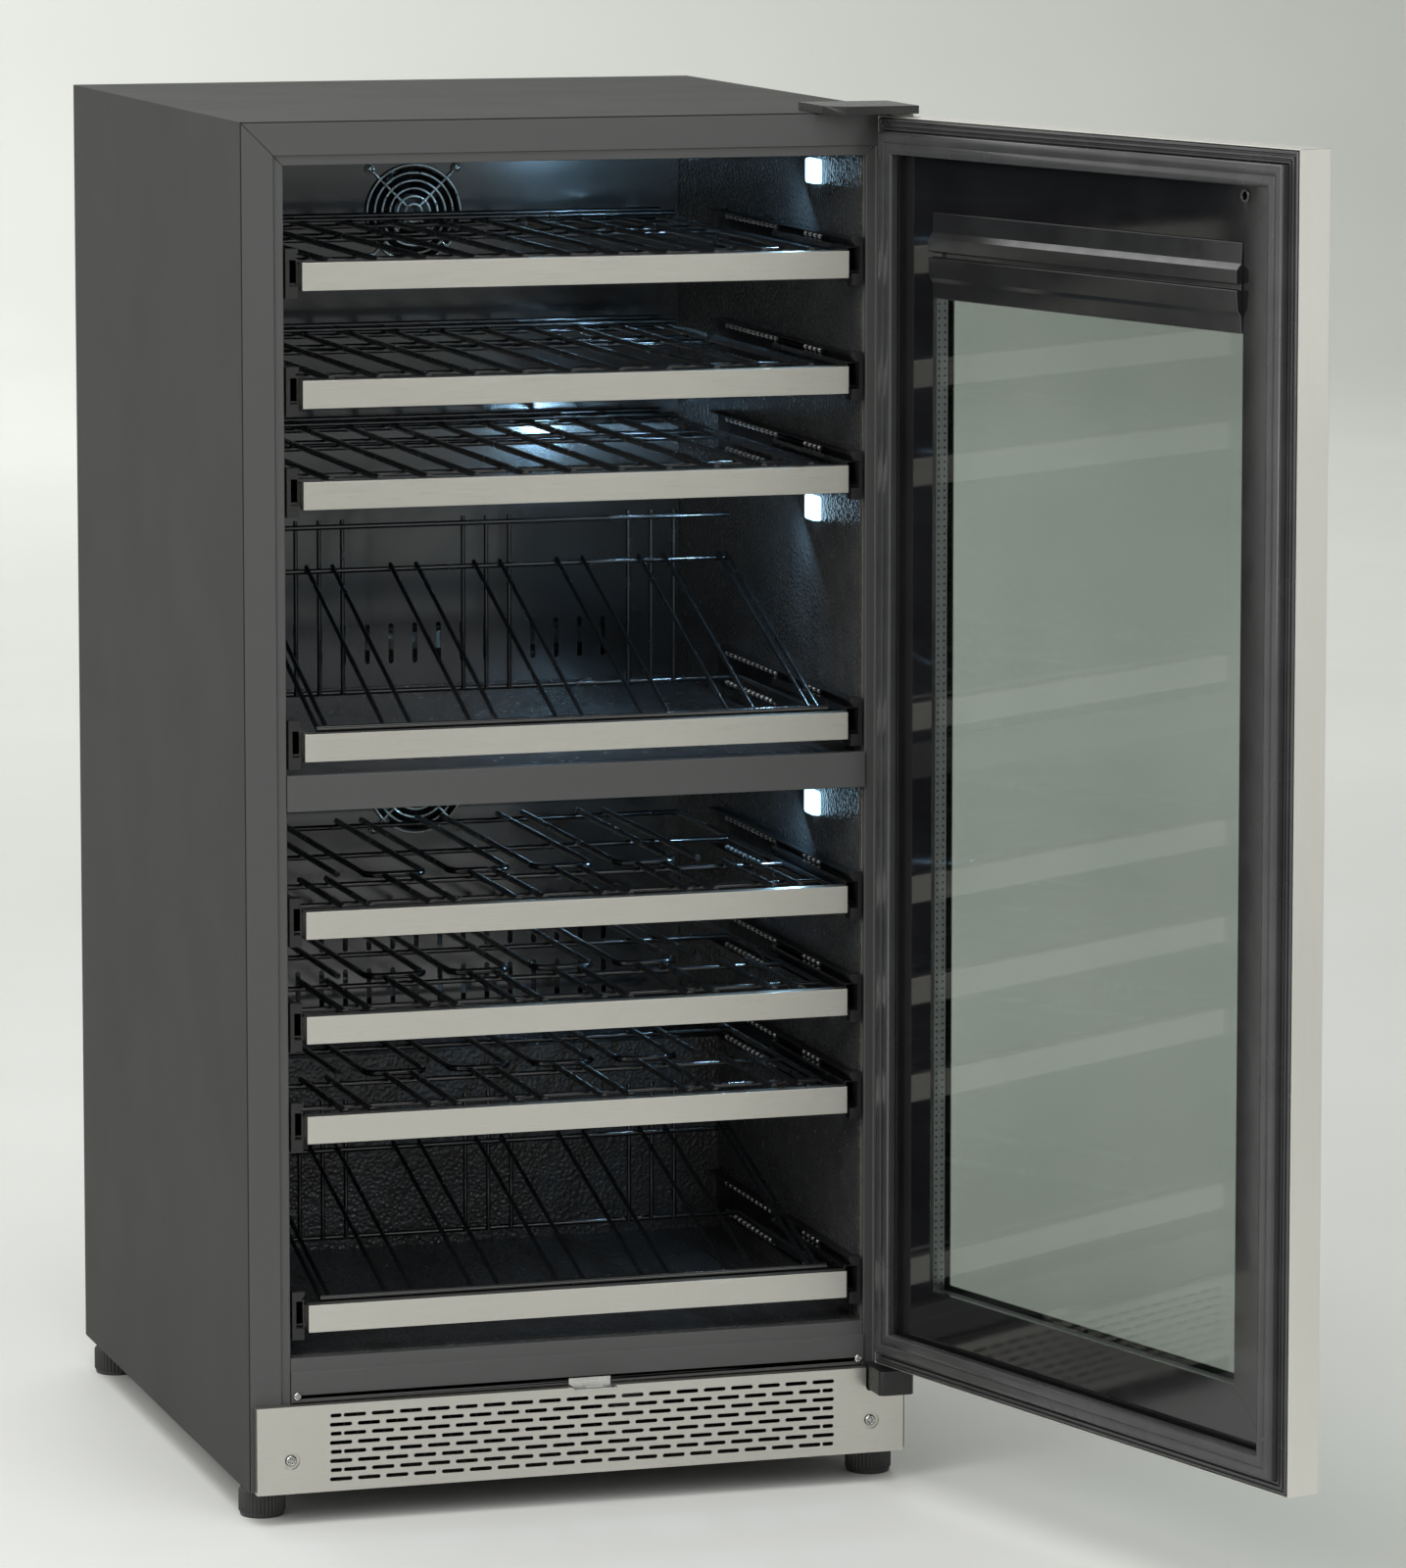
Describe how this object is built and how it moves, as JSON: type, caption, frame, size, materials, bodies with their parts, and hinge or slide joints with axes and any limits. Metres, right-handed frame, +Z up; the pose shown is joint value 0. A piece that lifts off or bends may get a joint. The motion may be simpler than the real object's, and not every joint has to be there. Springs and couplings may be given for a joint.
{
  "type": "wine cooler",
  "caption": "Tall two-zone wine cooler: painted cabinet with pull-out wire bottle shelves on ball slides, vented kickplate and a framed glass door that stands open.",
  "frame": {"origin": "on the floor, midway between the four levelling feet", "axes": "+Z up, +X to the right seen from the front, +Y into the cabinet, so the door side faces -Y"},
  "size_m": [0.7556, 1.2489, 1.2172],
  "materials": {
    "charcoal_paint": "matte",
    "zinc_steel": "satin",
    "foam": "matte",
    "black_liner": "gloss",
    "satin_panel": "satin",
    "black_wire": "gloss",
    "black_rail": "satin",
    "black_plastic": "satin",
    "aluminium_plate": "satin",
    "lamp_lens": "satin",
    "brushed_stainless": "satin",
    "black_shell": "satin",
    "gloss_black": "gloss",
    "grey_rubber": "matte",
    "glass": "gloss",
    "spacer_aluminium": "satin",
    "white_plastic": "satin"
  },
  "bodies": {
    "cabinet": {"outer_case": "charcoal_paint", "back_plate": "charcoal_paint", "base_plate": "zinc_steel", "front_frame": "charcoal_paint", "foam_core": "foam", "upper_liner": "black_liner", "lower_liner": "black_liner", "air_panels": "satin_panel", "fan_guards": "zinc_steel", "small_screws": "zinc_steel", "fan_frames": "black_plastic", "evaporators": "aluminium_plate", "led_lamps": "lamp_lens", "outer_rails": "black_rail", "rail_clips": "black_plastic", "kickplate": "brushed_stainless", "kickplate_screws": "zinc_steel", "lock_strike": "zinc_steel", "hinge_brackets": "zinc_steel", "hinge_covers": "black_plastic", "compressor": "black_shell", "condenser": "black_shell", "mains_inlet": "black_plastic"},
    "door": {"door_frame": "brushed_stainless", "door_inner_frame": "gloss_black", "door_gasket": "grey_rubber", "glass_panes": "glass", "glass_spacer": "spacer_aluminium", "control_housing": "gloss_black", "hinge_bushes": "white_plastic"},
    "upper_fan": {"upper_fan": "black_plastic"},
    "lower_fan": {"lower_fan": "black_plastic"},
    "foot_front_left": {"foot_front_left": "black_plastic"},
    "foot_front_right": {"foot_front_right": "black_plastic"},
    "foot_rear_left": {"foot_rear_left": "black_plastic"},
    "foot_rear_right": {"foot_rear_right": "black_plastic"},
    "shelf_1": {"rack_1": "black_wire", "front_bar_1": "brushed_stainless"},
    "cages_1": {"ball_cages_1": "zinc_steel"},
    "shelf_2": {"rack_2": "black_wire", "front_bar_2": "brushed_stainless"},
    "cages_2": {"ball_cages_2": "zinc_steel"},
    "shelf_3": {"rack_3": "black_wire", "front_bar_3": "brushed_stainless"},
    "cages_3": {"ball_cages_3": "zinc_steel"},
    "shelf_4": {"rack_4": "black_wire", "front_bar_4": "brushed_stainless"},
    "cages_4": {"ball_cages_4": "zinc_steel"},
    "shelf_5": {"rack_5": "black_wire", "front_bar_5": "brushed_stainless"},
    "cages_5": {"ball_cages_5": "zinc_steel"},
    "shelf_6": {"rack_6": "black_wire", "front_bar_6": "brushed_stainless"},
    "cages_6": {"ball_cages_6": "zinc_steel"},
    "shelf_7": {"rack_7": "black_wire", "front_bar_7": "brushed_stainless"},
    "cages_7": {"ball_cages_7": "zinc_steel"},
    "shelf_8": {"rack_8": "black_wire", "front_bar_8": "brushed_stainless"},
    "cages_8": {"ball_cages_8": "zinc_steel"}
  },
  "joints": [
    {"name": "door_hinge", "type": "hinge", "parent": "cabinet", "child": "door", "pos_m": [0.2835, -0.356, 0.66], "axis": [0, 0, 1], "range_deg": [-106, 9]},
    {"name": "shelf_1_slide", "type": "slide", "parent": "cabinet", "child": "shelf_1", "axis": [0, -1, 0], "range_m": [0, 0.15]},
    {"name": "cages_1_slide", "type": "slide", "parent": "cabinet", "child": "cages_1", "axis": [0, -1, 0], "range_m": [0, 0.075]},
    {"name": "shelf_2_slide", "type": "slide", "parent": "cabinet", "child": "shelf_2", "axis": [0, -1, 0], "range_m": [0, 0.15]},
    {"name": "cages_2_slide", "type": "slide", "parent": "cabinet", "child": "cages_2", "axis": [0, -1, 0], "range_m": [0, 0.075]},
    {"name": "shelf_3_slide", "type": "slide", "parent": "cabinet", "child": "shelf_3", "axis": [0, -1, 0], "range_m": [0, 0.15]},
    {"name": "cages_3_slide", "type": "slide", "parent": "cabinet", "child": "cages_3", "axis": [0, -1, 0], "range_m": [0, 0.075]},
    {"name": "shelf_4_slide", "type": "slide", "parent": "cabinet", "child": "shelf_4", "axis": [0, -1, 0], "range_m": [0, 0.15]},
    {"name": "cages_4_slide", "type": "slide", "parent": "cabinet", "child": "cages_4", "axis": [0, -1, 0], "range_m": [0, 0.075]},
    {"name": "shelf_5_slide", "type": "slide", "parent": "cabinet", "child": "shelf_5", "axis": [0, -1, 0], "range_m": [0, 0.15]},
    {"name": "cages_5_slide", "type": "slide", "parent": "cabinet", "child": "cages_5", "axis": [0, -1, 0], "range_m": [0, 0.075]},
    {"name": "shelf_6_slide", "type": "slide", "parent": "cabinet", "child": "shelf_6", "axis": [0, -1, 0], "range_m": [0, 0.15]},
    {"name": "cages_6_slide", "type": "slide", "parent": "cabinet", "child": "cages_6", "axis": [0, -1, 0], "range_m": [0, 0.075]},
    {"name": "shelf_7_slide", "type": "slide", "parent": "cabinet", "child": "shelf_7", "axis": [0, -1, 0], "range_m": [0, 0.15]},
    {"name": "cages_7_slide", "type": "slide", "parent": "cabinet", "child": "cages_7", "axis": [0, -1, 0], "range_m": [0, 0.075]},
    {"name": "shelf_8_slide", "type": "slide", "parent": "cabinet", "child": "shelf_8", "axis": [0, -1, 0], "range_m": [0, 0.15]},
    {"name": "cages_8_slide", "type": "slide", "parent": "cabinet", "child": "cages_8", "axis": [0, -1, 0], "range_m": [0, 0.075]},
    {"name": "upper_fan_spin", "type": "hinge", "parent": "cabinet", "child": "upper_fan", "pos_m": [0, 0.24, 1.092], "axis": [0, 1, 0], "continuous": true},
    {"name": "lower_fan_spin", "type": "hinge", "parent": "cabinet", "child": "lower_fan", "pos_m": [0, 0.24, 0.556], "axis": [0, 1, 0], "continuous": true},
    {"name": "foot_front_left_level", "type": "slide", "parent": "cabinet", "child": "foot_front_left", "axis": [0, 0, 1], "range_m": [-0.015, 0]},
    {"name": "foot_front_right_level", "type": "slide", "parent": "cabinet", "child": "foot_front_right", "axis": [0, 0, 1], "range_m": [-0.015, 0]},
    {"name": "foot_rear_left_level", "type": "slide", "parent": "cabinet", "child": "foot_rear_left", "axis": [0, 0, 1], "range_m": [-0.015, 0]},
    {"name": "foot_rear_right_level", "type": "slide", "parent": "cabinet", "child": "foot_rear_right", "axis": [0, 0, 1], "range_m": [-0.015, 0]}
  ],
  "couplings": [
    {"joint": "cages_1_slide", "follows": "shelf_1_slide", "ratio": 0.5},
    {"joint": "cages_2_slide", "follows": "shelf_2_slide", "ratio": 0.5},
    {"joint": "cages_3_slide", "follows": "shelf_3_slide", "ratio": 0.5},
    {"joint": "cages_4_slide", "follows": "shelf_4_slide", "ratio": 0.5},
    {"joint": "cages_5_slide", "follows": "shelf_5_slide", "ratio": 0.5},
    {"joint": "cages_6_slide", "follows": "shelf_6_slide", "ratio": 0.5},
    {"joint": "cages_7_slide", "follows": "shelf_7_slide", "ratio": 0.5},
    {"joint": "cages_8_slide", "follows": "shelf_8_slide", "ratio": 0.5}
  ]
}
